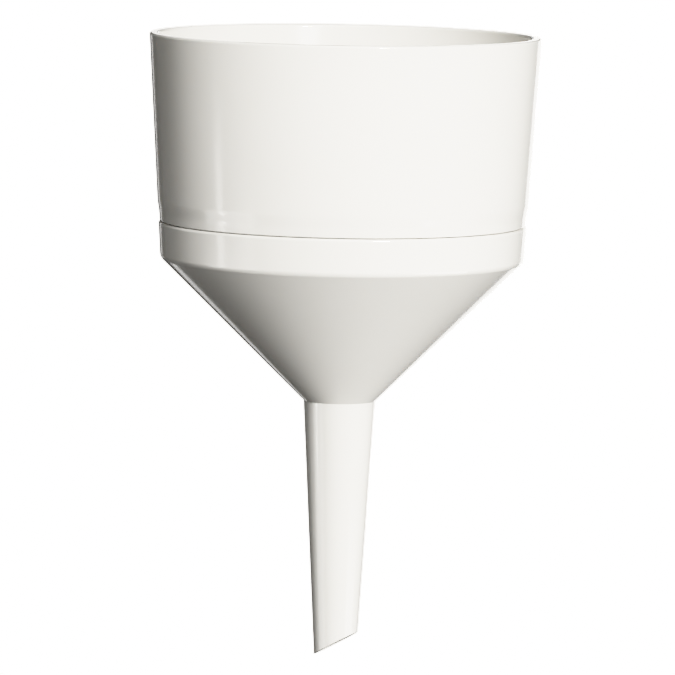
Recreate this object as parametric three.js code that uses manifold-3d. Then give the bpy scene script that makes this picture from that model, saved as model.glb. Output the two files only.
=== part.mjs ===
// Two-part Buchner funnel moulded in white polypropylene, for 110 mm filter paper.
// Millimetres, +Z up. The origin is on the funnel's axis, where the stem meets the cone.
// The long side of the stem's oblique tip is at -X, turned a little towards +Y.
//
// The cup lifts off the base at the parting line. Its spigot goes down into the base's
// socket, a ring in the spigot's groove seals it, and a loose perforated plate lies on
// the ledge inside the cup.

import * as THREE from "three";
import { mergeVertices } from "three/addons/utils/BufferGeometryUtils.js";
import Module from "manifold-3d";

const manifold = await Module();
manifold.setup();

// Sides of every turned piece; all start at the same angle, so facing facets line up
const turnedSides = 72;
const arcSteps = 3;

// Outer skin: one straight draft line runs up the band and the cup to the rim
const bandBottomZ = 45;
const bandBottomRadius = 57.17;
const partingZ = 56.3;
const rimZ = 115.5;
const skinDraft = 0.0608; // radius gained for each millimetre of height
const wallThickness = 2.85;
const partingGap = 0.3;
const cupEdgeRadius = 0.4; // along the parting line
const bandTopEdgeRadius = 0.9;
const rimEdgeRadius = 0.9;

// The cup's foot stands in a little from the skin, just above the parting line
const footInset = 0.38;
const footHeight = 3.15; // the straight part, above the cup's shoulder
const footBlendHeight = 2.75; // the slope from the foot out to the skin

// Cone and stem
const bandBottomEdgeRadius = 1.2; // rounds the corner between the band and the cone
const coneThickness = 2.6; // measured square to the cone
const stemTopRadius = 11.25;
const stemTaper = 0.0567; // radius lost for each millimetre down the stem
const boreTopRadius = 9;
const boreTaper = 0.0462;
const tipLongZ = -81.4; // the lowest point
const tipSlant = 29.2; // degrees between the cut and the horizontal
const tipTurn = 18.3; // degrees from -X to the tip's long side
const tipSpare = 4; // length turned past the tip, before the oblique cut

// Spigot, socket and sealing ring
const spigotRadius = 54.55;
const spigotDepth = 8.65; // below the cup's shoulder
const spigotChamfer = 1.2;
const socketRadius = 54.9;
const socketLeadIn = 0.9;
const grooveFloorRadius = 52.3;
const grooveTopDepth = 2.45; // below the cup's shoulder
const grooveWidth = 3;
const ringSection = 2.44;
const ringSides = 8;
const ringClearance = 0.08; // between the ring and the groove's floor

// Ledge and perforated plate
const ledgeHeight = 2.85; // above the cup's shoulder
const ledgeRadius = 50.2; // the opening inside the ledge
const plateRadius = 54.8;
const plateThickness = 3;
const plateClearance = 0.3; // between the plate and the ledge it lies on
const holeRadius = 1.25;
const holeSides = 6;
const holeRings = 7;
const holePitch = 6.6;
const holesInFirstRing = 6;

// Ribs under the plate
const ribThickness = 1.6;
const ribDepth = 5;
const ribCount = 6;
const ribRingRadii = [23.1, 48.8];
const hubRadius = 3;
const hubSides = 12;
const ribOverlap = 0.5; // how far a rib runs into the plate, the hub and the outer ring

const coneSlope = (bandBottomRadius - stemTopRadius) / bandBottomZ;
const coneWallAcross = coneThickness * Math.hypot(1, coneSlope);

const skinRadiusAt = (z) => bandBottomRadius + skinDraft * (z - bandBottomZ);
const coneInnerHeightAt = (radius) => (radius + coneWallAcross - stemTopRadius) / coneSlope;
const stemRadiusAt = (z) => stemTopRadius + stemTaper * z;
const boreRadiusAt = (z) => boreTopRadius + boreTaper * (z - coneInnerHeightAt(boreTopRadius));

const polypropylene = { color: 0xf3f2ef, roughness: 0.35, metalness: 0 };
const silicone = { color: 0xdedcd6, roughness: 0.6, metalness: 0 };

// A piece: its geometry, its name and a material of its own
function makePiece(name, geometry, finish) {
  const mesh = new THREE.Mesh(geometry, new THREE.MeshStandardMaterial(finish));
  mesh.name = name;
  return mesh;
}

const point = (radius, z) => new THREE.Vector2(radius, z);

// Points of an arc in a turned outline, from one angle to another in degrees
function arc(radius, z, size, fromDegrees, toDegrees) {
  const points = [];
  for (let step = 0; step <= arcSteps; step += 1) {
    const degrees = fromDegrees + ((toDegrees - fromDegrees) * step) / arcSteps;
    const angle = THREE.MathUtils.degToRad(degrees);
    points.push(point(radius + size * Math.cos(angle), z + size * Math.sin(angle)));
  }
  return points;
}

// Turns an outline about Z: it is given anticlockwise, with the axis on its left, and closes
function turn(outline) {
  const geometry = new THREE.LatheGeometry([...outline, outline[0].clone()], turnedSides);
  geometry.rotateX(Math.PI / 2);
  return geometry;
}

function toSolid(geometry) {
  const bare = geometry.clone();
  bare.deleteAttribute("normal");
  bare.deleteAttribute("uv");
  const merged = mergeVertices(bare);
  const vertProperties = new Float32Array(merged.attributes.position.array);
  const triVerts = new Uint32Array(merged.index.array);
  return new manifold.Manifold(new manifold.Mesh({ numProp: 3, vertProperties, triVerts }));
}

function toGeometry(solid) {
  const mesh = solid.getMesh();
  const geometry = new THREE.BufferGeometry();
  geometry.setAttribute("position", new THREE.BufferAttribute(mesh.vertProperties, 3));
  geometry.setIndex(new THREE.BufferAttribute(mesh.triVerts, 1));
  geometry.computeVertexNormals();
  return geometry;
}

// One of the round ribs under the plate: a thin ring of rectangular section
function ringRib(innerRadius, outerRadius, bottomZ, topZ) {
  return turn([
    point(outerRadius, bottomZ),
    point(outerRadius, topZ),
    point(innerRadius, topZ),
    point(innerRadius, bottomZ),
  ]);
}

// Cup, with heights from its shoulder: wall, rounded rim, ledge and grooved spigot
function makeFilterCup() {
  const shoulderZ = partingZ + partingGap / 2;
  const rim = rimZ - shoulderZ;
  const outerAt = (height) => skinRadiusAt(shoulderZ + height);
  const innerAt = (height) => outerAt(height) - wallThickness;
  const footTop = footHeight + footBlendHeight;
  const grooveTop = -grooveTopDepth;
  const grooveBottom = grooveTop - grooveWidth;
  const outline = [
    point(spigotRadius - spigotChamfer, -spigotDepth),
    point(spigotRadius, spigotChamfer - spigotDepth),
    point(spigotRadius, grooveBottom),
    point(grooveFloorRadius, grooveBottom),
    point(grooveFloorRadius, grooveTop),
    point(spigotRadius, grooveTop),
    point(spigotRadius, 0),
    ...arc(outerAt(0) - footInset - cupEdgeRadius, cupEdgeRadius, cupEdgeRadius, -90, 0),
    point(outerAt(footHeight) - footInset, footHeight),
    point(outerAt(footTop), footTop),
    ...arc(outerAt(rim) - rimEdgeRadius, rim - rimEdgeRadius, rimEdgeRadius, 0, 90),
    ...arc(innerAt(rim) + rimEdgeRadius, rim - rimEdgeRadius, rimEdgeRadius, 90, 180),
    point(innerAt(ledgeHeight), ledgeHeight),
    point(ledgeRadius, ledgeHeight),
    point(ledgeRadius, -spigotDepth),
  ];
  return makePiece("filter_cup", turn(outline), polypropylene);
}

// Ring of round section, centred on its own height
function makeSealingRing() {
  const middle = grooveFloorRadius + ringClearance + ringSection / 2;
  const geometry = new THREE.TorusGeometry(middle, ringSection / 2, ringSides, turnedSides);
  return makePiece("sealing_ring", geometry, silicone);
}

// A hole's outline; hole rings are staggered, so that six straight lines stay free for ribs
function holePath(ring, index) {
  const count = holesInFirstRing * ring;
  const angle = ((index + 0.5) / count) * 2 * Math.PI;
  const x = holePitch * ring * Math.cos(angle);
  const y = holePitch * ring * Math.sin(angle);
  return new THREE.Path(circlePoints(x, y, holeRadius, holeSides));
}

function circlePoints(x, y, radius, sides) {
  const points = [];
  for (let side = 0; side < sides; side += 1) {
    const angle = (side / sides) * 2 * Math.PI;
    points.push(new THREE.Vector2(x + radius * Math.cos(angle), y + radius * Math.sin(angle)));
  }
  return points;
}

function perforatedDisc() {
  const disc = new THREE.Shape(circlePoints(0, 0, plateRadius, turnedSides));
  for (let ring = 1; ring <= holeRings; ring += 1) {
    for (let index = 0; index < holesInFirstRing * ring; index += 1) {
      disc.holes.push(holePath(ring, index));
    }
  }
  return new THREE.ExtrudeGeometry(disc, { depth: plateThickness, bevelEnabled: false });
}

// One straight rib from the hub to the outer ring, at the given angle
function radialRib(angle) {
  const outerRing = ribRingRadii[ribRingRadii.length - 1];
  const length = outerRing - hubRadius + 2 * ribOverlap;
  const height = ribDepth + ribOverlap;
  const rib = new THREE.BoxGeometry(length, ribThickness, height);
  rib.translate(hubRadius - ribOverlap + length / 2, 0, ribOverlap - height / 2);
  rib.rotateZ(angle);
  return rib;
}

// Plate, with heights from the underside of its disc: the ribs hang below it
function makePerforatedPlate() {
  let plate = toSolid(perforatedDisc());
  for (const radius of ribRingRadii) {
    const inner = radius - ribThickness / 2;
    const outer = radius + ribThickness / 2;
    plate = plate.add(toSolid(ringRib(inner, outer, -ribDepth, ribOverlap)));
  }
  const hub = new THREE.CylinderGeometry(hubRadius, hubRadius, ribDepth + ribOverlap, hubSides);
  hub.rotateX(Math.PI / 2);
  hub.translate(0, 0, (ribOverlap - ribDepth) / 2);
  plate = plate.add(toSolid(hub));
  for (let index = 0; index < ribCount; index += 1) {
    plate = plate.add(toSolid(radialRib((index / ribCount) * 2 * Math.PI)));
  }
  return makePiece("perforated_plate", toGeometry(plate), polypropylene);
}

// The block that takes off everything below the oblique tip
function tipCutter() {
  const turnAngle = THREE.MathUtils.degToRad(tipTurn);
  const longRadius = stemRadiusAt(tipLongZ);
  const size = 6 * longRadius;
  const block = new THREE.BoxGeometry(size, size, size);
  block.translate(0, 0, -size / 2);
  block.rotateY(-THREE.MathUtils.degToRad(tipSlant));
  block.translate(-longRadius, 0, tipLongZ);
  block.rotateZ(-turnAngle);
  return block;
}

// Base: socket band, cone and stem in one moulding, with heights from the stem's top
function makeFunnelBase() {
  const topZ = partingZ - partingGap / 2;
  const turnedBottomZ = tipLongZ - tipSpare;
  const coneAngle = THREE.MathUtils.radToDeg(Math.atan(coneSlope));
  // The band's corner is rounded by an arc that touches the band and the cone
  const cornerTangent = bandBottomEdgeRadius * Math.tan(THREE.MathUtils.degToRad(coneAngle / 2));
  const cornerZ = bandBottomZ + cornerTangent;
  const cornerCentre = skinRadiusAt(cornerZ) - bandBottomEdgeRadius;
  const topEdgeCentre = skinRadiusAt(topZ) - bandTopEdgeRadius;
  const outline = [
    point(stemRadiusAt(turnedBottomZ), turnedBottomZ),
    point(stemTopRadius, 0),
    ...arc(cornerCentre, cornerZ, bandBottomEdgeRadius, -coneAngle, 0),
    ...arc(topEdgeCentre, topZ - bandTopEdgeRadius, bandTopEdgeRadius, 0, 90),
    point(socketRadius + socketLeadIn, topZ),
    point(socketRadius, topZ - socketLeadIn),
    point(socketRadius, coneInnerHeightAt(socketRadius)),
    point(boreTopRadius, coneInnerHeightAt(boreTopRadius)),
    point(boreRadiusAt(turnedBottomZ), turnedBottomZ),
  ];
  const solid = toSolid(turn(outline)).subtract(toSolid(tipCutter()));
  return makePiece("funnel_base", toGeometry(solid), polypropylene);
}

const filterCup = makeFilterCup();

const sealingRing = makeSealingRing();
sealingRing.position.z = -grooveTopDepth - grooveWidth / 2;

const perforatedPlate = makePerforatedPlate();
perforatedPlate.position.z = ledgeHeight + plateClearance;

// Everything that lifts off the base together
const upperSection = new THREE.Group();
upperSection.position.z = partingZ + partingGap / 2;
upperSection.add(filterCup, sealingRing, perforatedPlate);

const buchnerFunnel = new THREE.Group();
buchnerFunnel.add(makeFunnelBase(), upperSection);

export default buchnerFunnel;
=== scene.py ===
import math

import bmesh
import bpy
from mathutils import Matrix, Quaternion, Vector


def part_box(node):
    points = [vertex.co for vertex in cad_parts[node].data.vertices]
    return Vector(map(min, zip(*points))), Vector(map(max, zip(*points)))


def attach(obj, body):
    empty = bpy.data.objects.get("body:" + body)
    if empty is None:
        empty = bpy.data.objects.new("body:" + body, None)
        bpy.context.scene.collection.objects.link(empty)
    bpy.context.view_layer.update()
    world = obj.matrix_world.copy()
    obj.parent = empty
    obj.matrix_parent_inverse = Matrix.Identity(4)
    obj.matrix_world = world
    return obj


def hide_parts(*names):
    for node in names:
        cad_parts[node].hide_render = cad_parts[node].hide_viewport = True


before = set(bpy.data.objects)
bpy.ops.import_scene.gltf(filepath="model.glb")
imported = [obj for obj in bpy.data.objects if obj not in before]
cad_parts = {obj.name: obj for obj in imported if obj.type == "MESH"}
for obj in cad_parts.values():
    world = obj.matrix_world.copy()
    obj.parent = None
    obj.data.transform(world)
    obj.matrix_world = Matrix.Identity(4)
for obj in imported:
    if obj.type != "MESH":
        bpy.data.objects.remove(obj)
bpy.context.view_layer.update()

# Two-part Buchner funnel in white polypropylene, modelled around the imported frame.
# Metres, Z up. The origin is on the axis, where the stem meets the cone.

mm = 0.001
turnSteps = 192  # steps round every turned piece
weldDistance = 0.005 * mm

cupLow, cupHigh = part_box("filter_cup")
plateLow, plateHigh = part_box("perforated_plate")
ringLow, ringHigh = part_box("sealing_ring")
baseLow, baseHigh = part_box("funnel_base")


def deselectAll():
    bpy.ops.object.select_all(action="DESELECT")


def startEdit(piece):
    deselectAll()
    piece.select_set(True)
    bpy.context.view_layer.objects.active = piece
    bpy.ops.object.mode_set(mode="EDIT")


def endEdit():
    bpy.ops.object.mode_set(mode="OBJECT")


# Points are (radius, height); the wire closes on its first point
def drawOutline(name, points):
    deselectAll()
    bpy.ops.mesh.primitive_plane_add(size=mm, location=(points[0][0], 0, points[0][1]))
    piece = bpy.context.object
    piece.name = name
    piece.data.name = name
    bpy.ops.object.transform_apply(location=True, rotation=True, scale=True)
    bpy.ops.object.mode_set(mode="EDIT")
    bpy.ops.mesh.select_mode(type="VERT")
    bpy.ops.mesh.merge(type="CENTER")  # one vertex, to draw the outline with
    for here, there in zip(points, points[1:] + points[:1]):
        step = (there[0] - here[0], 0, there[1] - here[1])
        bpy.ops.mesh.extrude_vertices_move(TRANSFORM_OT_translate={"value": step})
    bpy.ops.mesh.select_all(action="SELECT")
    bpy.ops.mesh.remove_doubles(threshold=weldDistance)
    endEdit()
    return piece


def turnOutline(piece):
    startEdit(piece)
    bpy.ops.mesh.select_all(action="SELECT")
    bpy.ops.mesh.spin(steps=turnSteps, angle=2 * math.pi, center=(0, 0, 0), axis=(0, 0, 1))
    bpy.ops.mesh.select_all(action="SELECT")
    bpy.ops.mesh.remove_doubles(threshold=weldDistance)
    bpy.ops.mesh.normals_make_consistent(inside=False)
    bpy.ops.mesh.select_all(action="DESELECT")
    endEdit()


# Rounds the circular edges that run through the given (radius, height) corners
def roundCorners(piece, corners, size, segments):
    startEdit(piece)
    bpy.ops.mesh.select_mode(type="EDGE")
    bpy.ops.mesh.select_all(action="DESELECT")
    mesh = bmesh.from_edit_mesh(piece.data)
    for edge in mesh.edges:
        ends = [(vertex.co.xy.length, vertex.co.z) for vertex in edge.verts]
        edge.select_set(any(
            all(math.dist(end, corner) < 2 * weldDistance for end in ends) for corner in corners
        ))
    bmesh.update_edit_mesh(piece.data)
    bpy.ops.mesh.bevel(offset=size, segments=segments, profile=0.5, affect="EDGES")
    endEdit()


def applyModifier(piece, kind, **settings):
    deselectAll()
    piece.select_set(True)
    bpy.context.view_layer.objects.active = piece
    modifier = piece.modifiers.new(kind.lower(), kind)
    for name, value in settings.items():
        setattr(modifier, name, value)
    bpy.ops.object.modifier_apply(modifier=modifier.name)


# Smooth faces with sharp creases, and flat faces that stay flat beside a rounded edge
def finishSurface(piece, creaseDegrees=34):
    deselectAll()
    piece.select_set(True)
    bpy.context.view_layer.objects.active = piece
    bpy.ops.object.shade_smooth_by_angle(angle=math.radians(creaseDegrees))
    applyModifier(piece, "WEIGHTED_NORMAL", weight=80, keep_sharp=True)


# Camera: a long lens, a little above the rim
cameraSetup = {
    "distance": 1836 * mm,       # from the funnel's axis
    "aboveRim": 101.7 * mm,
    "aimBelowRim": 95.6 * mm,
    "aimLeft": 0.9 * mm,
    "roll": 1.0,                 # degrees
    "sensor": 36,
    "lens": 312.2,
    "reach": 50,
}


def makeCamera():
    rimZ = cupHigh[2]
    place = Vector((-cameraSetup["aimLeft"], -cameraSetup["distance"], rimZ + cameraSetup["aboveRim"]))
    aim = Vector((-cameraSetup["aimLeft"], 0, rimZ - cameraSetup["aimBelowRim"]))
    deselectAll()
    bpy.ops.object.camera_add(location=place)
    camera = bpy.context.object
    camera.name = "studioCamera"
    camera.rotation_mode = "QUATERNION"
    turn = (aim - place).to_track_quat("-Z", "Y")
    roll = Quaternion((0, 0, 1), math.radians(cameraSetup["roll"]))
    camera.rotation_quaternion = turn @ roll
    camera.data.sensor_width = cameraSetup["sensor"]
    camera.data.lens = cameraSetup["lens"]
    camera.data.dof.use_dof = False
    camera.data.clip_end = cameraSetup["reach"]
    bpy.context.scene.camera = camera


makeCamera()
print("camera ready")


# Cup: the wall with its rim and foot, the ledge inside and the spigot with the ring's groove
cupSizes = {
    "wall": 2.85 * mm,
    "draft": 0.0608,             # radius gained for each unit of height
    "rimRound": 0.75 * mm,
    "rimSteps": 6,               # faces across the rounding
    "footInset": 0.38 * mm,      # the foot stands in a little, just above the parting line
    "footStraight": 1.9 * mm,
    "footBlend": 5.2 * mm,
    "footRound": 0.4 * mm,
    "footSteps": 4,
    "spigotRadius": 54.55 * mm,
    "spigotBottomRound": 0.9 * mm,
    "spigotBottomSteps": 4,
    "shoulderAboveSpigotBottom": 8.65 * mm,
    "grooveFloorRadius": 52.3 * mm,
    "grooveTop": 2.45 * mm,      # below the shoulder
    "grooveWidth": 3.0 * mm,
    "ledgeHeight": 2.85 * mm,    # above the shoulder
    "ledgeRadius": 50.2 * mm,
    "ledgeRound": 0.4 * mm,
    "ledgeSteps": 3,
    "smallRound": 0.2 * mm,
    "smallSteps": 2,
}


# A soft step, from inset at the bottom to nothing at the top
def softStep(bottom, height, inset, skinRadius, points=7):
    step = []
    for index in range(points):
        share = index / (points - 1)
        ease = share * share * (3 - 2 * share)
        z = bottom + share * height
        step.append((skinRadius(z) - inset * (1 - ease), z))
    return step


def makeCup():
    size = cupSizes
    bottom = cupLow[2]
    shoulder = bottom + size["shoulderAboveSpigotBottom"]
    rim = cupHigh[2]
    rimRadius = cupHigh[0]

    def skin(z):
        return rimRadius - size["draft"] * (rim - z)

    grooveTop = shoulder - size["grooveTop"]
    grooveBottom = grooveTop - size["grooveWidth"]
    ledge = shoulder + size["ledgeHeight"]
    footEdge = (skin(shoulder) - size["footInset"], shoulder)
    blend = softStep(shoulder + size["footStraight"], size["footBlend"], size["footInset"], skin)
    ledgeCorner = (skin(ledge) - size["wall"], ledge)
    outline = [
        (size["ledgeRadius"], bottom),
        (size["spigotRadius"], bottom),
        (size["spigotRadius"], grooveBottom),
        (size["grooveFloorRadius"], grooveBottom),
        (size["grooveFloorRadius"], grooveTop),
        (size["spigotRadius"], grooveTop),
        (size["spigotRadius"], shoulder),
        footEdge,
        *blend,
        (rimRadius, rim),
        (rimRadius - size["wall"], rim),
        ledgeCorner,
        (size["ledgeRadius"], ledge),
    ]
    cup = drawOutline("cup_moulding", outline)
    turnOutline(cup)
    rimCorners = [(rimRadius, rim), (rimRadius - size["wall"], rim)]
    smallCorners = outline[2:7] + outline[:1]  # the groove, the shoulder and the spigot's inside edge
    roundCorners(cup, rimCorners, size["rimRound"], size["rimSteps"])
    roundCorners(cup, [footEdge], size["footRound"], size["footSteps"])
    roundCorners(cup, [(size["spigotRadius"], bottom)], size["spigotBottomRound"], size["spigotBottomSteps"])
    roundCorners(cup, [ledgeCorner, (size["ledgeRadius"], ledge)], size["ledgeRound"], size["ledgeSteps"])
    roundCorners(cup, smallCorners, size["smallRound"], size["smallSteps"])
    finishSurface(cup)
    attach(cup, "cup")
    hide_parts("filter_cup")
    return cup


cup = makeCup()
print("cup ready:", len(cup.data.polygons), "faces")


# Base: socket band, cone and stem in one moulding
baseSizes = {
    "draft": 0.0608,
    "bandBottom": 45.0 * mm,
    "bandTopRound": 0.9 * mm,
    "bandBottomRound": 1.0 * mm,
    "bandSteps": 5,
    "coneWall": 2.6 * mm,        # measured square to the cone
    "socketRadius": 54.9 * mm,
    "socketLeadIn": 0.9 * mm,
    "stemTopRadius": 11.25 * mm,
    "stemTaper": 0.0567,
    "boreTopRadius": 9.0 * mm,
    "boreTaper": 0.0462,
    "partingGap": 0.18 * mm,
    "tipSlant": 29.5,            # degrees between the cut and the horizontal
    "tipTurn": 20.5,             # degrees from -X to the tip's long side
    "tipSpare": 4.0 * mm,        # turned past the tip, before the oblique cut
    "tipRound": 0.22 * mm,
    "tipSteps": 3,
    "tipEdgeAngle": 20,          # degrees; sharper edges of the cut are rounded
    "throatRound": 1.5 * mm,     # inside, between the cone and the bore
    "throatSteps": 4,
    "smallRound": 0.3 * mm,
    "smallSteps": 2,
}


def makeBase():
    size = baseSizes
    top = cupLow[2] + cupSizes["shoulderAboveSpigotBottom"] - size["partingGap"]
    topRadius = baseHigh[0]
    tipLong = baseLow[2]
    turnedBottom = tipLong - size["tipSpare"]
    bandBottomRadius = topRadius - size["draft"] * (top - size["bandBottom"])
    coneSlope = (bandBottomRadius - size["stemTopRadius"]) / size["bandBottom"]
    wallAcross = size["coneWall"] * math.hypot(1, coneSlope)

    def stemRadius(z):
        return size["stemTopRadius"] + size["stemTaper"] * z

    def innerConeHeight(radius):
        return (radius + wallAcross - size["stemTopRadius"]) / coneSlope

    throat = (size["boreTopRadius"], innerConeHeight(size["boreTopRadius"]))
    boreBottomRadius = throat[0] - size["boreTaper"] * (throat[1] - turnedBottom)
    bandCorner = (bandBottomRadius, size["bandBottom"])
    topCorner = (topRadius, top)
    leadInTop = (size["socketRadius"] + size["socketLeadIn"], top)
    socketFloor = (size["socketRadius"], innerConeHeight(size["socketRadius"]))
    outline = [
        (stemRadius(turnedBottom), turnedBottom),
        (size["stemTopRadius"], 0),
        bandCorner,
        topCorner,
        leadInTop,
        (size["socketRadius"], top - size["socketLeadIn"]),
        socketFloor,
        throat,
        (boreBottomRadius, turnedBottom),
    ]
    base = drawOutline("base_moulding", outline)
    turnOutline(base)
    cutTip(base, stemRadius, tipLong)
    roundCorners(base, [topCorner], size["bandTopRound"], size["bandSteps"])
    roundCorners(base, [bandCorner], size["bandBottomRound"], size["bandSteps"])
    roundCorners(base, [throat], size["throatRound"], size["throatSteps"])
    roundCorners(base, [leadInTop, socketFloor], size["smallRound"], size["smallSteps"])
    finishSurface(base)
    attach(base, "base")
    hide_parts("funnel_base")
    return base


# The tip is sawn off at a slant, with its long side near -X
def cutTip(base, stemRadius, tipLong):
    slant = math.radians(baseSizes["tipSlant"])
    turn = math.radians(baseSizes["tipTurn"])
    longSide = Vector((-math.cos(turn), math.sin(turn), 0))
    longPoint = longSide * stemRadius(tipLong) + Vector((0, 0, tipLong))
    outward = -longSide * math.sin(slant) - Vector((0, 0, math.cos(slant)))
    startEdit(base)
    bpy.ops.mesh.select_all(action="SELECT")
    bpy.ops.mesh.bisect(plane_co=longPoint, plane_no=outward, clear_outer=True)
    bpy.ops.mesh.select_mode(type="EDGE")
    bpy.ops.mesh.select_all(action="DESELECT")
    bpy.ops.mesh.select_non_manifold(extend=False)
    bpy.ops.mesh.bridge_edge_loops()
    bpy.ops.mesh.select_all(action="SELECT")
    bpy.ops.mesh.normals_make_consistent(inside=False)
    bpy.ops.mesh.select_all(action="DESELECT")
    mesh = bmesh.from_edit_mesh(base.data)
    for edge in mesh.edges:
        onCut = all(abs((v.co - longPoint).dot(outward)) < weldDistance for v in edge.verts)
        isSharp = abs(edge.calc_face_angle(0)) > math.radians(baseSizes["tipEdgeAngle"])
        edge.select_set(onCut and isSharp)
    bmesh.update_edit_mesh(base.data)
    bpy.ops.mesh.bevel(
        offset=baseSizes["tipRound"], segments=baseSizes["tipSteps"], profile=0.5, affect="EDGES"
    )
    endEdit()


base = makeBase()
print("base ready:", len(base.data.polygons), "faces")


# Plate: a drilled disc with six straight ribs, two round ribs and a hub below
plateSizes = {
    "discThickness": 3.0 * mm,
    "edgeRound": 0.5 * mm,
    "edgeSteps": 3,
    "holeRadius": 1.25 * mm,
    "holeFlare": 0.25 * mm,      # each hole opens a little at the top face
    "holeSides": 20,
    "drillSpare": 0.5 * mm,      # the drill runs past both faces
    "holeRings": 7,
    "holePitch": 6.6 * mm,
    "firstRing": 6,              # holes in the first ring; each ring has this many more
    "ribThickness": 1.6 * mm,
    "ribRings": (23.1 * mm, 48.8 * mm),
    "ribRound": 0.3 * mm,
    "ribSteps": 2,
    "ribOverlap": 0.5 * mm,
    "straightRibs": 6,
    "hubRadius": 3.0 * mm,
    "hubSides": 48,
    "flatAngle": 0.5,            # degrees; flatter edges left by the drilling are dissolved
}


def makePlate():
    size = plateSizes
    top = plateHigh[2]
    under = top - size["discThickness"]
    deselectAll()
    bpy.ops.mesh.primitive_cylinder_add(
        vertices=turnSteps, radius=plateHigh[0],
        depth=size["discThickness"], location=(0, 0, (top + under) / 2)
    )
    plate = bpy.context.object
    plate.name = "plate_moulding"
    plate.data.name = "plate_moulding"
    bpy.ops.object.transform_apply(location=True, rotation=True, scale=True)
    applyModifier(
        plate, "BEVEL", width=size["edgeRound"], segments=size["edgeSteps"], limit_method="ANGLE"
    )
    for rib in makeRibs(under):
        combine(plate, rib, "UNION")
    combine(plate, makeHoleCutter(top, under), "DIFFERENCE")
    startEdit(plate)
    bpy.ops.mesh.select_all(action="SELECT")
    bpy.ops.mesh.remove_doubles(threshold=weldDistance)
    bpy.ops.mesh.dissolve_limited(angle_limit=math.radians(size["flatAngle"]))
    endEdit()
    finishSurface(plate)
    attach(plate, "plate")
    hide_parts("perforated_plate")
    return plate


def combine(piece, other, operation):
    applyModifier(piece, "BOOLEAN", object=other, operation=operation, solver="EXACT")
    bpy.data.objects.remove(other, do_unlink=True)


def makeRibs(under):
    size = plateSizes
    bottom = plateLow[2]
    top = under + size["ribOverlap"]
    half = size["ribThickness"] / 2
    ribs = []
    for radius in size["ribRings"]:
        outer = radius + half
        inner = radius - half
        corners = [(outer, bottom), (outer, top), (inner, top), (inner, bottom)]
        rib = drawOutline("ring_rib", corners)
        turnOutline(rib)
        roundCorners(rib, [corners[0], corners[3]], size["ribRound"], size["ribSteps"])
        ribs.append(rib)
    ribs.append(makeHub(bottom, top))
    for index in range(size["straightRibs"]):
        ribs.append(makeStraightRib(bottom, top, 2 * math.pi * index / size["straightRibs"]))
    return ribs


def roundEdges(rib):
    applyModifier(
        rib, "BEVEL", width=plateSizes["ribRound"], segments=plateSizes["ribSteps"], limit_method="ANGLE"
    )


def makeHub(bottom, top):
    deselectAll()
    bpy.ops.mesh.primitive_cylinder_add(
        vertices=plateSizes["hubSides"], radius=plateSizes["hubRadius"],
        depth=top - bottom, location=(0, 0, (top + bottom) / 2)
    )
    hub = bpy.context.object
    bpy.ops.object.transform_apply(location=True, rotation=True, scale=True)
    roundEdges(hub)
    return hub


def makeStraightRib(bottom, top, angle):
    size = plateSizes
    start = size["hubRadius"] - size["ribOverlap"]
    end = size["ribRings"][-1]
    middle = (start + end) / 2
    deselectAll()
    bpy.ops.mesh.primitive_cube_add(
        size=1, location=(middle * math.cos(angle), middle * math.sin(angle), (top + bottom) / 2),
        rotation=(0, 0, angle), scale=(end - start, size["ribThickness"], top - bottom)
    )
    rib = bpy.context.object
    bpy.ops.object.transform_apply(location=True, rotation=True, scale=True)
    roundEdges(rib)
    return rib


# One drill that flares at its top, copied to every hole
def makeHoleCutter(top, under):
    size = plateSizes
    spare = size["drillSpare"]
    straightTop = top - size["holeFlare"]
    deselectAll()
    bpy.ops.mesh.primitive_cylinder_add(
        vertices=size["holeSides"], radius=size["holeRadius"],
        depth=straightTop - under + spare, location=(0, 0, (straightTop + under - spare) / 2)
    )
    drill = bpy.context.object
    bpy.ops.object.transform_apply(location=True, rotation=True, scale=True)
    startEdit(drill)
    bpy.ops.mesh.select_mode(type="FACE")
    bpy.ops.mesh.select_all(action="DESELECT")
    mesh = bmesh.from_edit_mesh(drill.data)
    for face in mesh.faces:
        face.select_set(face.normal.z > 0.9)
    bmesh.update_edit_mesh(drill.data)
    flareTop = size["holeFlare"] + spare
    wider = (size["holeRadius"] + flareTop) / size["holeRadius"]
    bpy.ops.mesh.extrude_region_move(TRANSFORM_OT_translate={"value": (0, 0, flareTop)})
    bpy.ops.transform.resize(value=(wider, wider, 1))
    endEdit()
    copies = []
    for ring in range(1, size["holeRings"] + 1):
        reach = size["holePitch"] * ring
        count = size["firstRing"] * ring
        for index in range(count):
            angle = 2 * math.pi * (index + 0.5) / count
            copy = drill.copy()
            copy.data = drill.data.copy()
            copy.location = (reach * math.cos(angle), reach * math.sin(angle), 0)
            bpy.context.collection.objects.link(copy)
            copies.append(copy)
    bpy.data.objects.remove(drill, do_unlink=True)
    deselectAll()
    for copy in copies:
        copy.select_set(True)
    bpy.context.view_layer.objects.active = copies[0]
    bpy.ops.object.join()
    bpy.ops.object.transform_apply(location=True, rotation=True, scale=True)
    return copies[0]


plate = makePlate()
print("plate ready:", len(plate.data.polygons), "faces")


# Sealing ring: a moulded ring of round section, with the fine flash line of its two mould halves
ringSizes = {
    "sectionSteps": 24,
    "flash": 0.03 * mm,
    "creaseDegrees": 60,         # edges sharper than this are creases
}


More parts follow.
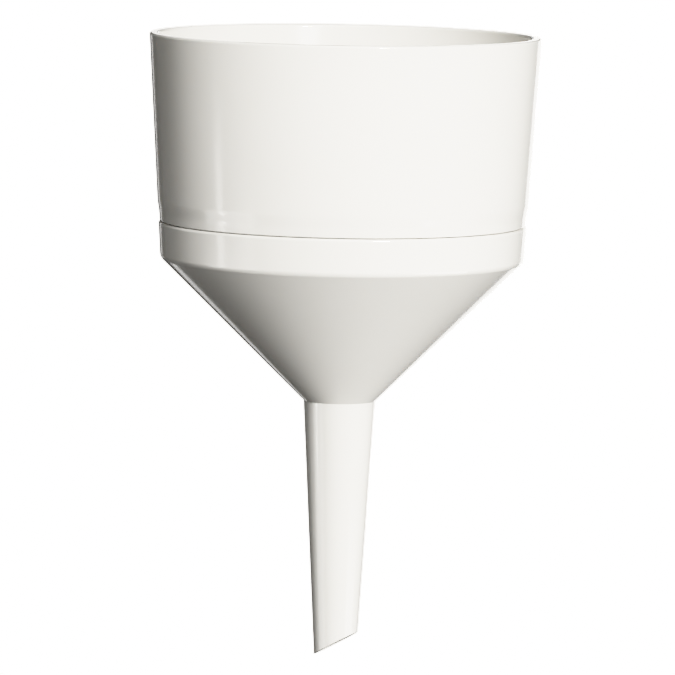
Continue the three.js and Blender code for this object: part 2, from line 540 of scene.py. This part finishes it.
def makeRing():
    sectionRadius = (ringHigh[2] - ringLow[2]) / 2
    middleRadius = ringHigh[0] - sectionRadius
    middleZ = (ringHigh[2] + ringLow[2]) / 2
    deselectAll()
    bpy.ops.mesh.primitive_torus_add(
        major_segments=turnSteps, minor_segments=ringSizes["sectionSteps"], location=(0, 0, middleZ),
        major_radius=middleRadius, minor_radius=sectionRadius - ringSizes["flash"]
    )
    ring = bpy.context.object
    ring.name = "seal_ring"
    ring.data.name = "seal_ring"
    bpy.ops.object.transform_apply(location=True, rotation=True, scale=True)
    for side in (1, -1):
        startEdit(ring)
        bpy.ops.mesh.select_mode(type="VERT")
        bpy.ops.mesh.select_all(action="DESELECT")
        mesh = bmesh.from_edit_mesh(ring.data)
        for vertex in mesh.verts:
            beside = side * (vertex.co.xy.length - middleRadius)
            vertex.select_set(beside > 0 and abs(vertex.co.z - middleZ) < weldDistance)
        bmesh.update_edit_mesh(ring.data)
        stretch = 1 + side * ringSizes["flash"] / (middleRadius + side * sectionRadius)
        bpy.ops.transform.resize(value=(stretch, stretch, 1))
        endEdit()
    finishSurface(ring, ringSizes["creaseDegrees"])
    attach(ring, "seal")
    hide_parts("sealing_ring")
    return ring


ring = makeRing()
print("ring ready:", len(ring.data.polygons), "faces")


def hexToLinear(code):
    channels = [int(code[place:place + 2], 16) / 255 for place in (1, 3, 5)]
    return tuple(c / 12.92 if c <= 0.04045 else ((c + 0.055) / 1.055) ** 2.4 for c in channels) + (1.0,)


# Adds a node; settings name its inputs or its own properties, and links name its inputs
def addNode(tree, kind, settings=None, links=None):
    node = tree.nodes.new(kind)
    for name, value in (settings or {}).items():
        if isinstance(name, int) or name in node.inputs:
            node.inputs[name].default_value = value
        else:
            setattr(node, name, value)
    for name, source in (links or {}).items():
        tree.links.new(source, node.inputs[name])
    return node


def newMaterial(name):
    material = bpy.data.materials.new(name)
    material.use_nodes = True
    material.node_tree.nodes.clear()
    return material, material.node_tree


# Polypropylene, injection moulded in a turned steel mould: milky white with a waxy gloss,
# and the fine rings of the turning tool printed in its skin.
polypropyleneLook = {
    "light": "#e9e7e2",
    "shade": "#e5e3dd",
    "ior": 1.49,
    "cloud": 24 * mm,            # size of the faint clouds in the colour
    "grain": 1.6 * mm,           # size of the gloss variation
    "toolPitch": 0.7 * mm,       # tool rings are 0.1 mm apart, drawn coarser so that they show
    "toolDepth": 0.004 * mm,
    "toolStrength": 0.3,
    "ripple": 9 * mm,            # slow unevenness of a cooled wall
    "rippleDepth": 0.02 * mm,
    "rippleStrength": 0.35,
    "glossSpread": 0.03,         # roughness either side of its middle value
    "milkiness": 0.12,           # light that scatters inside the wall
    "scatter": 2.5 * mm,
}


def makePolypropylene(name, roughness):
    look = polypropyleneLook
    material, tree = newMaterial(name)
    place = addNode(tree, "ShaderNodeTexCoord").outputs["Object"]
    height = addNode(tree, "ShaderNodeSeparateXYZ", links={"Vector": place}).outputs["Z"]
    cloud = addNode(
        tree, "ShaderNodeTexNoise", {"Scale": 1 / look["cloud"], "Detail": 3.0, "Roughness": 0.5},
        {"Vector": place}
    )
    colour = addNode(tree, "ShaderNodeMix", {
        "data_type": "RGBA", 6: hexToLinear(look["shade"]), 7: hexToLinear(look["light"])
    }, {"Factor": cloud.outputs["Fac"]})
    grain = addNode(
        tree, "ShaderNodeTexNoise", {"Scale": 1 / look["grain"], "Detail": 2.0}, {"Vector": place}
    )
    gloss = addNode(tree, "ShaderNodeMapRange", {
        "To Min": roughness - look["glossSpread"], "To Max": roughness + look["glossSpread"]
    }, {"Value": grain.outputs["Fac"]})
    rings = addNode(
        tree, "ShaderNodeTexNoise", {"noise_dimensions": "1D", "Scale": 1 / look["toolPitch"], "Detail": 2.0},
        {"W": height}
    )
    ripple = addNode(
        tree, "ShaderNodeTexNoise", {"Scale": 1 / look["ripple"], "Detail": 1.0}, {"Vector": place}
    )
    rippleBump = addNode(
        tree, "ShaderNodeBump", {"Strength": look["rippleStrength"], "Distance": look["rippleDepth"]},
        {"Height": ripple.outputs["Fac"]}
    )
    ringBump = addNode(
        tree, "ShaderNodeBump", {"Strength": look["toolStrength"], "Distance": look["toolDepth"]},
        {"Height": rings.outputs["Fac"], "Normal": rippleBump.outputs["Normal"]}
    )
    surface = addNode(tree, "ShaderNodeBsdfPrincipled", {
        "IOR": look["ior"], "Subsurface Weight": look["milkiness"], "Subsurface Radius": (1.0, 0.9, 0.8),
        "Subsurface Scale": look["scatter"]
    }, {
        "Base Color": colour.outputs[2], "Roughness": gloss.outputs["Result"],
        "Normal": ringBump.outputs["Normal"]
    })
    addNode(tree, "ShaderNodeOutputMaterial", links={"Surface": surface.outputs["BSDF"]})
    return material


# Silicone rubber, compression moulded: milky, slightly see-through, with a satin skin
siliconeLook = {
    "milk": "#dcd9d2",
    "amber": "#d3cfc5",
    "ior": 1.42,
    "cloud": 6 * mm,
    "skin": 0.8 * mm,            # fine matt texture of the mould, drawn coarse enough to show
    "skinDepth": 0.01 * mm,
    "skinStrength": 0.4,
    "glossiest": 0.42,
    "dullest": 0.6,
    "milkiness": 0.3,
    "scatter": 1.5 * mm,
}


def makeSilicone():
    look = siliconeLook
    material, tree = newMaterial("silicone_compression_moulded")
    place = addNode(tree, "ShaderNodeTexCoord").outputs["Object"]
    cloud = addNode(
        tree, "ShaderNodeTexNoise", {"Scale": 1 / look["cloud"], "Detail": 2.0}, {"Vector": place}
    )
    colour = addNode(tree, "ShaderNodeMix", {
        "data_type": "RGBA", 6: hexToLinear(look["milk"]), 7: hexToLinear(look["amber"])
    }, {"Factor": cloud.outputs["Fac"]})
    skin = addNode(
        tree, "ShaderNodeTexNoise", {"Scale": 1 / look["skin"], "Detail": 3.0}, {"Vector": place}
    )
    gloss = addNode(tree, "ShaderNodeMapRange", {
        "To Min": look["glossiest"], "To Max": look["dullest"]
    }, {"Value": skin.outputs["Fac"]})
    bump = addNode(
        tree, "ShaderNodeBump", {"Strength": look["skinStrength"], "Distance": look["skinDepth"]},
        {"Height": skin.outputs["Fac"]}
    )
    surface = addNode(tree, "ShaderNodeBsdfPrincipled", {
        "IOR": look["ior"], "Subsurface Weight": look["milkiness"], "Subsurface Radius": (1.0, 0.9, 0.75),
        "Subsurface Scale": look["scatter"]
    }, {
        "Base Color": colour.outputs[2], "Roughness": gloss.outputs["Result"],
        "Normal": bump.outputs["Normal"]
    })
    addNode(tree, "ShaderNodeOutputMaterial", links={"Surface": surface.outputs["BSDF"]})
    return material


polishedRoughness = 0.14  # the cup and the base, from a polished mould
plainRoughness = 0.28     # the plate, from a plain one
cup.data.materials.append(makePolypropylene("polypropylene_moulded_cup", polishedRoughness))
base.data.materials.append(makePolypropylene("polypropylene_moulded_base", polishedRoughness))
plate.data.materials.append(makePolypropylene("polypropylene_moulded_plate", plainRoughness))
ring.data.materials.append(makeSilicone())
print("materials ready")


# Floor: a pale board far below the stem's tip, lit through from below and fading out at its edge.
# It throws no light back on the funnel.
floorSetup = {
    "belowTip": 520 * mm,
    "radius": 2600 * mm,
    "sides": 128,
    "fadeFrom": 1500 * mm,
    "colour": "#e4e3e0",
    "roughness": 0.6,
    "glow": 1.25,
}


def makeFloor():
    deselectAll()
    bpy.ops.mesh.primitive_circle_add(
        vertices=floorSetup["sides"], radius=floorSetup["radius"], fill_type="NGON",
        location=(0, 0, baseLow[2] - floorSetup["belowTip"])
    )
    floor = bpy.context.object
    floor.name = "studio_floor"
    bpy.ops.object.transform_apply(location=True, rotation=True, scale=True)
    material, tree = newMaterial("painted_board_floor")
    place = addNode(tree, "ShaderNodeTexCoord").outputs["Object"]
    flat = addNode(tree, "ShaderNodeVectorMath", {"operation": "MULTIPLY", 1: (1, 1, 0)}, {0: place})
    reach = addNode(tree, "ShaderNodeVectorMath", {"operation": "LENGTH"}, {0: flat.outputs["Vector"]})
    fade = addNode(tree, "ShaderNodeMapRange", {
        "interpolation_type": "SMOOTHSTEP",
        "From Min": floorSetup["fadeFrom"], "From Max": floorSetup["radius"]
    }, {"Value": reach.outputs["Value"]})
    board = addNode(tree, "ShaderNodeBsdfPrincipled", {
        "Base Color": hexToLinear(floorSetup["colour"]), "Roughness": floorSetup["roughness"],
        "Emission Color": hexToLinear(floorSetup["colour"]), "Emission Strength": floorSetup["glow"]
    })
    clear = addNode(tree, "ShaderNodeBsdfTransparent")
    mixed = addNode(tree, "ShaderNodeMixShader", links={
        0: fade.outputs["Result"], 1: board.outputs["BSDF"], 2: clear.outputs["BSDF"]
    })
    addNode(tree, "ShaderNodeOutputMaterial", links={"Surface": mixed.outputs["Shader"]})
    floor.data.materials.append(material)
    floor.visible_diffuse = False
    floor.visible_glossy = False
    floor.visible_transmission = False
    return floor


# Soft panels round the funnel, in metres: azimuth 0 is the camera's side and 90 the right, and each
# panel faces the funnel's axis at the height aimZ. Gloss mirrors all of them but backFill.
lightSetup = {
    "key": {"azimuth": 24, "elevation": 20, "width": 0.28, "height": 0.6, "brightness": 111},
    "frontHigh": {"azimuth": 0, "elevation": 50, "width": 0.7, "height": 0.7, "brightness": 9},
    "rightLow": {
        "azimuth": 72, "elevation": -28, "width": 0.7, "height": 0.35, "distance": 1.0, "brightness": 12.3
    },
    "leftLow": {
        "azimuth": -75, "elevation": -20, "width": 0.6, "height": 0.35, "distance": 0.9, "brightness": 5
    },
    "backHigh": {"azimuth": 180, "elevation": 45, "width": 1.1, "height": 0.7, "brightness": 3.3},
    "backFill": {
        "azimuth": 180, "elevation": -8, "width": 0.5, "height": 0.6, "brightness": 24, "mirrored": False
    },
}

# Cards that only the gloss shows, as bright lines along the funnel's edges; they light no surface
cardSetup = {
    "strip": {
        "azimuth": -80.3, "width": 0.09, "height": 0.17, "distance": 1.0, "aimZ": -0.158, "brightness": 9
    },
    "stemStrip": {
        "azimuth": -79, "width": 0.05, "height": 0.024, "distance": 1.0, "aimZ": -0.222, "brightness": 22
    },
    "rimLine": {"azimuth": -160.7, "width": 0.115, "height": 0.5, "aimZ": 0, "brightness": 2},
    "rimLeft": {"azimuth": -175.8, "width": 0.1, "height": 0.2, "aimZ": 0.22, "brightness": 2.6},
    "rimRight": {"azimuth": 175.8, "width": 0.1, "height": 0.2, "aimZ": 0.22, "brightness": 3.2},
    "coneLeft": {"azimuth": -162.7, "width": 0.136, "height": 0.38, "aimZ": -0.62, "brightness": 2.2},
    "coneRight": {"azimuth": 169.7, "width": 0.36, "height": 0.3, "aimZ": -0.37, "brightness": 3.6},
    "backRight": {"azimuth": 168.5, "width": 0.61, "height": 0.46, "aimZ": -0.03, "brightness": 5},
}
lightDistance = 1.5
lightAim = 20 * mm
ambientLevel = 0.02


def makeLight(name, setup):
    azimuth = math.radians(setup["azimuth"])
    elevation = math.radians(setup.get("elevation", 0))
    aim = Vector((0, 0, setup.get("aimZ", lightAim)))
    away = Vector((
        math.sin(azimuth) * math.cos(elevation), -math.cos(azimuth) * math.cos(elevation), math.sin(elevation)
    ))
    deselectAll()
    bpy.ops.object.light_add(type="AREA", location=aim + away * setup.get("distance", lightDistance))
    light = bpy.context.object
    light.name = name
    light.rotation_mode = "QUATERNION"
    light.rotation_quaternion = away.to_track_quat("Z", "Y")
    light.data.shape = "RECTANGLE"
    light.data.size = setup["width"]
    light.data.size_y = setup["height"]
    light.data.energy = setup["brightness"] * math.pi * setup["width"] * setup["height"]
    light.visible_camera = False
    light.visible_glossy = setup.get("mirrored", True)
    return light


# The camera sees a white surround; everything else is lit by it only faintly
def makeWorld(whiteLevel):
    world = bpy.data.worlds.new("studio_world")
    bpy.context.scene.world = world
    world.use_nodes = True
    tree = world.node_tree
    tree.nodes.clear()
    paths = addNode(tree, "ShaderNodeLightPath")
    white = addNode(tree, "ShaderNodeBackground", {"Color": (1, 1, 1, 1), "Strength": whiteLevel})
    dim = addNode(tree, "ShaderNodeBackground", {"Color": (1, 1, 1, 1), "Strength": ambientLevel})
    mixed = addNode(tree, "ShaderNodeMixShader", links={
        0: paths.outputs["Is Camera Ray"], 1: dim.outputs["Background"], 2: white.outputs["Background"]
    })
    addNode(tree, "ShaderNodeOutputWorld", links={"Surface": mixed.outputs["Shader"]})


# Tone curve of a high-key studio picture: contrast in the shade, a soft shoulder in the whites
toneSetup = {
    "power": 1.4,
    "shoulders": (0.940, 0.933, 0.918),  # the whites stay a little warm
    "white": 4.0,
    "steps": (0.08, 0.16, 0.26, 0.38, 0.52, 0.7, 0.9, 1.15, 1.45, 1.8, 2.3, 2.9, 3.4),
}


def setTone():
    view = bpy.context.scene.view_settings
    view.view_transform = "Standard"
    view.look = "None"
    view.exposure = 0
    view.gamma = 1
    view.use_curve_mapping = True
    mapping = view.curve_mapping
    mapping.white_level = [toneSetup["white"]] * 3
    for curve, shoulder in zip(mapping.curves, toneSetup["shoulders"]):
        for value in toneSetup["steps"]:
            tone = shoulder * (1 - math.exp(-value ** toneSetup["power"]))
            curve.points.new(value / toneSetup["white"], tone)
    mapping.update()


makeFloor()
makeWorld(toneSetup["white"])
for lightName, lightValues in lightSetup.items():
    makeLight(lightName, lightValues)
for cardName, cardValues in cardSetup.items():
    card = makeLight(cardName, cardValues)
    card.visible_diffuse = False
setTone()
print("studio ready")

deselectAll()
